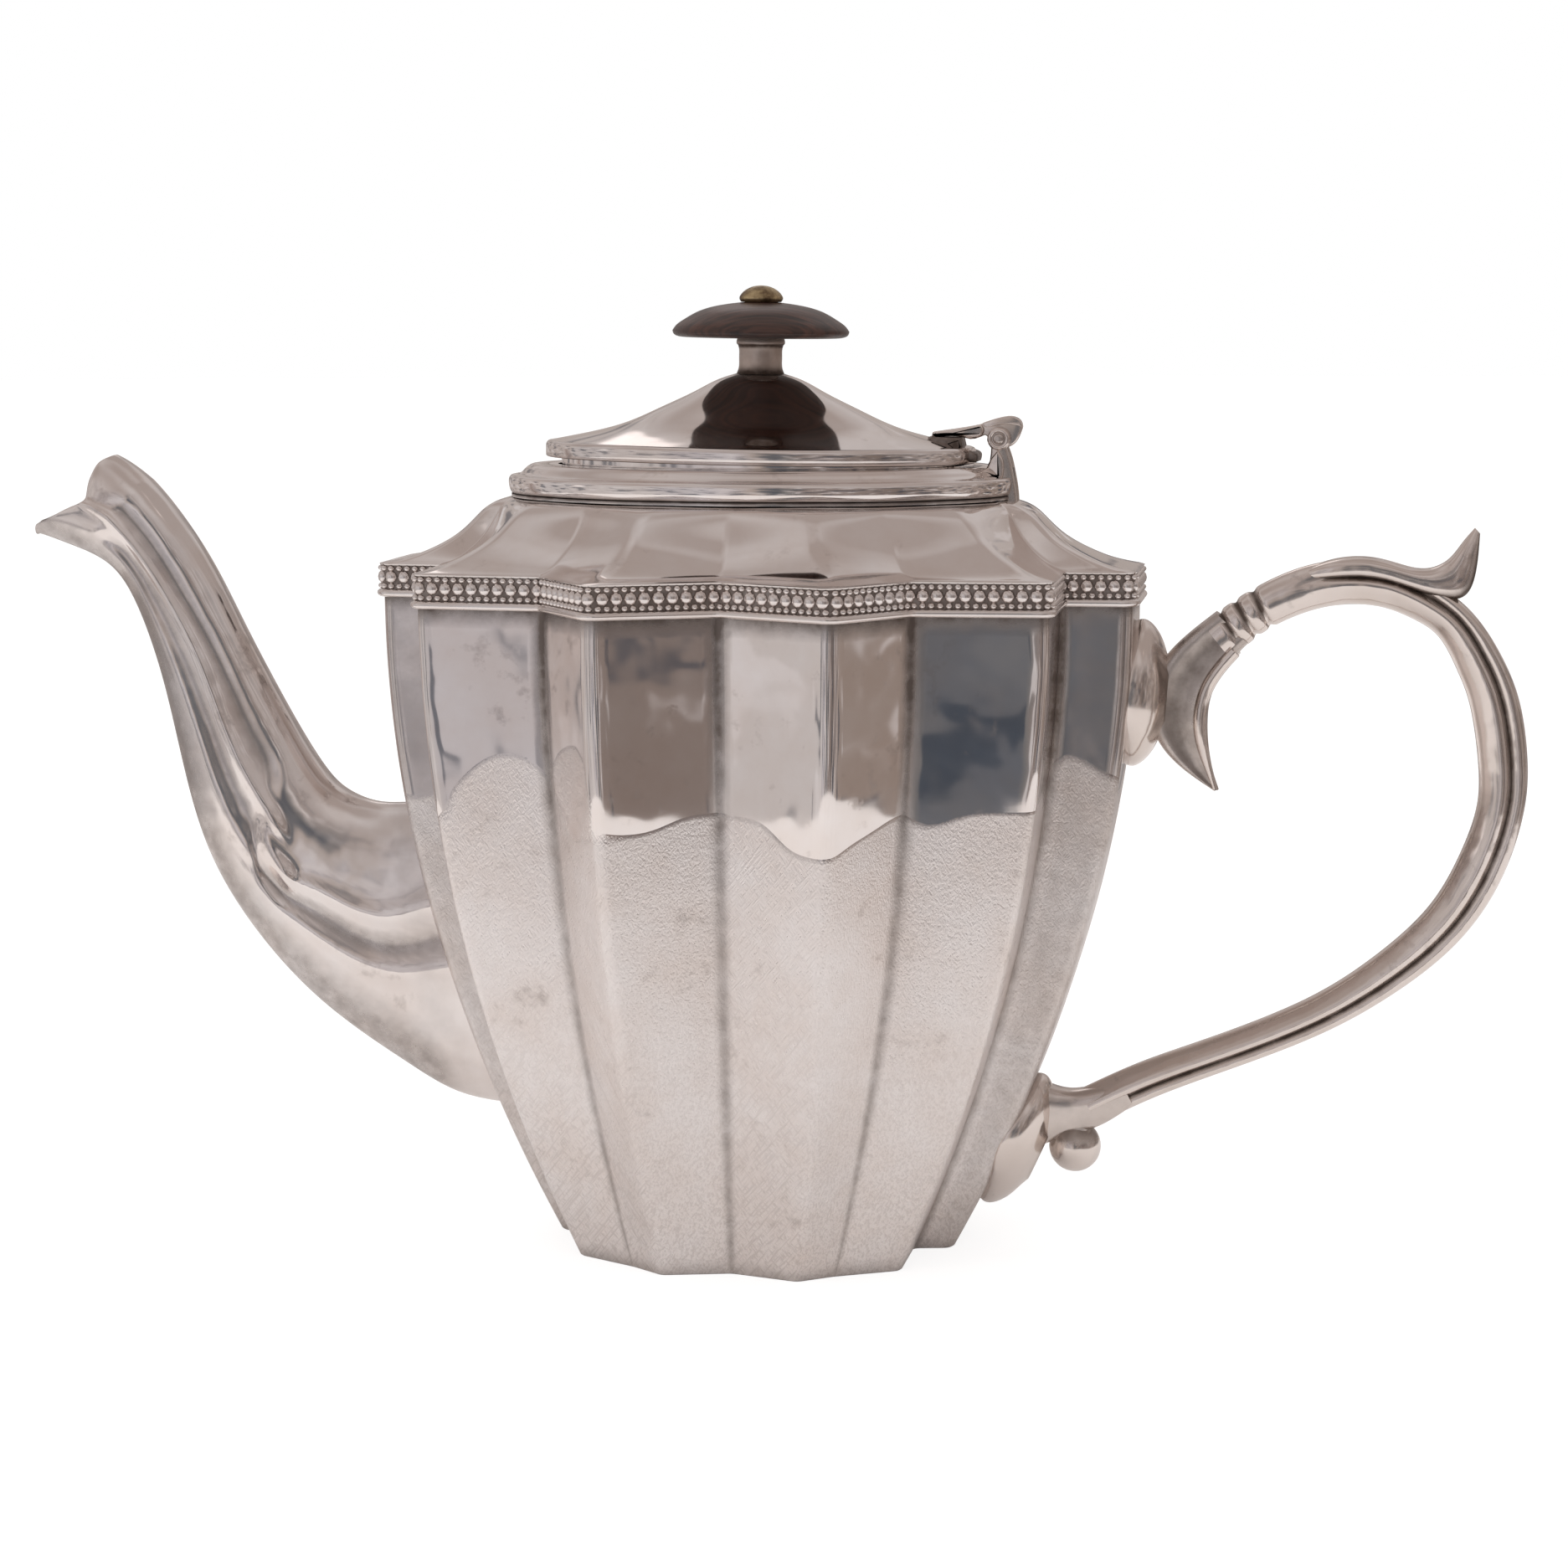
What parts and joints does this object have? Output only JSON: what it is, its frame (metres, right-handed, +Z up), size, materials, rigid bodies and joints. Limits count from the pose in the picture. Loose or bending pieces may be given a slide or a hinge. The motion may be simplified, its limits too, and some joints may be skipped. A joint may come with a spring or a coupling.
{
  "type": "silver teapot",
  "caption": "Panelled oval silver teapot with beaded scalloped rim, hinged domed lid, dark wood disc knob, cast loop handle and swan-neck spout.",
  "frame": {"origin": "centre of the flat base, on the surface the pot stands on", "axes": "+X towards the handle, -X towards the spout, +Y to the far side, +Z up"},
  "size_m": [0.2746, 0.0986, 0.1731],
  "materials": {
    "silver_plate": "polished silver plate with fine polishing scratches",
    "base_silver": "dulled silver plate",
    "border_silver": "stamped silver plate, tarnished in the hollows",
    "cast_silver": "cast silver plate, tarnished in the hollows",
    "worn_silver": "worn, tarnished silver plate",
    "rosewood": "waxed dark wood",
    "cap_brass": "dull brass",
    "hardware_brass": "dull brass"
  },
  "bodies": {
    "pot": {"body_shell": "silver_plate", "base_plate": "base_silver", "shoulder_cover": "silver_plate", "border_wire": "border_silver", "bead_border": "border_silver", "neck_collar": "silver_plate", "lid_seat_ring": "silver_plate", "hinge_post": "cast_silver", "hinge_pin": "hardware_brass", "spout_near_half": "silver_plate", "spout_far_half": "silver_plate", "handle_upper_pad": "cast_silver", "handle_lower_pad": "cast_silver", "handle_casting": "cast_silver"},
    "lid": {"lid_shell": "silver_plate", "lid_bezel": "silver_plate", "strap_saddle": "cast_silver", "hinge_strap": "cast_silver", "knob_stem": "worn_silver", "knob_disc": "rosewood", "knob_cap": "cap_brass", "knob_stud": "hardware_brass", "knob_nut": "hardware_brass"}
  },
  "joints": [
    {"name": "lid_hinge", "type": "hinge", "parent": "pot", "child": "lid", "pos_m": [0.0433, 0, 0.1462], "axis": [0, 1, 0], "range_deg": [0, 95]}
  ]
}
